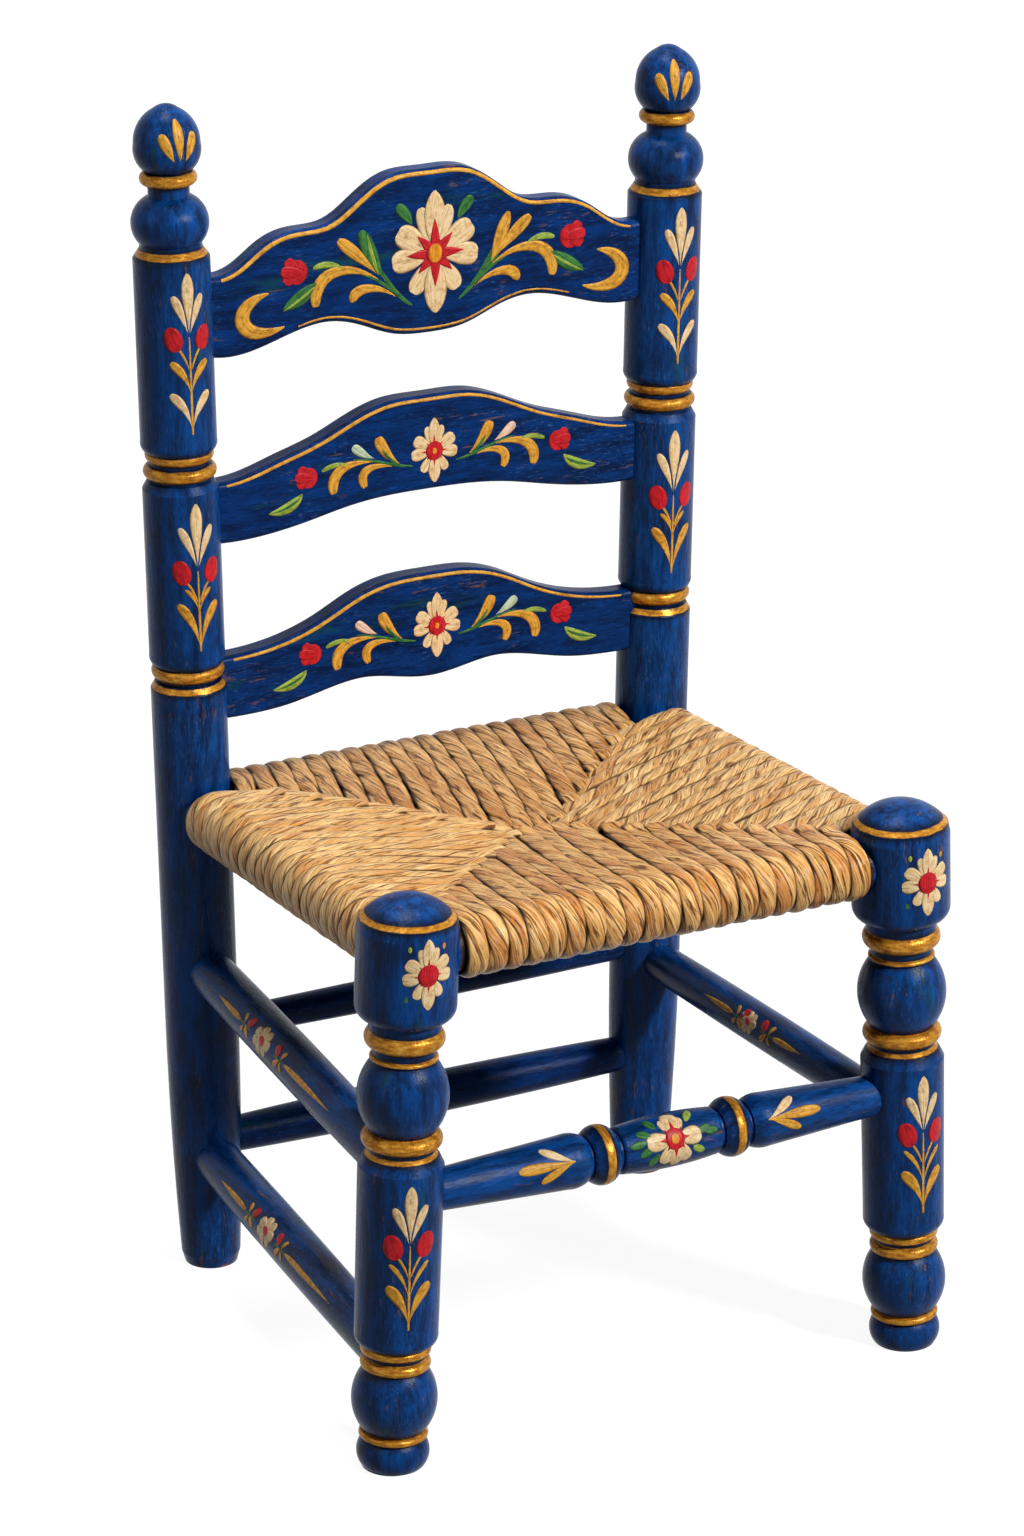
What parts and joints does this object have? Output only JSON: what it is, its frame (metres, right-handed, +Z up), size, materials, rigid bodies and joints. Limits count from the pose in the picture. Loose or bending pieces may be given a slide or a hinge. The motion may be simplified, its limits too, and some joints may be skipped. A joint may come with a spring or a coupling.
{
  "type": "painted ladder-back chair",
  "caption": "Child's ladder-back chair with turned legs and posts, shaped painted slats, turned front stretcher and a woven rush seat.",
  "frame": {"origin": "on the floor under the middle of the chair's outline", "axes": "+Z up, the chair faces -Y, +X towards its right side as seen from the front"},
  "size_m": [0.3356, 0.2988, 0.6308],
  "materials": {
    "painted_wood": "brushed cobalt blue paint over turned wood, satin, worn on the edges, with painted flowers and gold rings",
    "peg_wood": "painted over, end grain showing at the rim",
    "rush": "twisted natural rush cord, dry, golden tan",
    "stuffing": "packed dry rush scraps"
  },
  "bodies": {
    "root": {"front_left_leg": "painted_wood", "front_right_leg": "painted_wood", "rear_left_post": "painted_wood", "rear_right_post": "painted_wood", "top_slat": "painted_wood", "middle_slat": "painted_wood", "lower_slat": "painted_wood", "front_stretcher": "painted_wood", "left_upper_stretcher": "painted_wood", "left_lower_stretcher": "painted_wood", "right_side_stretcher": "painted_wood", "rear_upper_stretcher": "painted_wood", "rear_lower_stretcher": "painted_wood", "front_seat_rail": "painted_wood", "rear_seat_rail": "painted_wood", "left_seat_rail": "painted_wood", "right_seat_rail": "painted_wood", "slat_pegs": "peg_wood", "rush_seat": "rush", "front_stuffing": "stuffing", "rear_stuffing": "stuffing", "left_stuffing": "stuffing", "right_stuffing": "stuffing"}
  },
  "joints": []
}
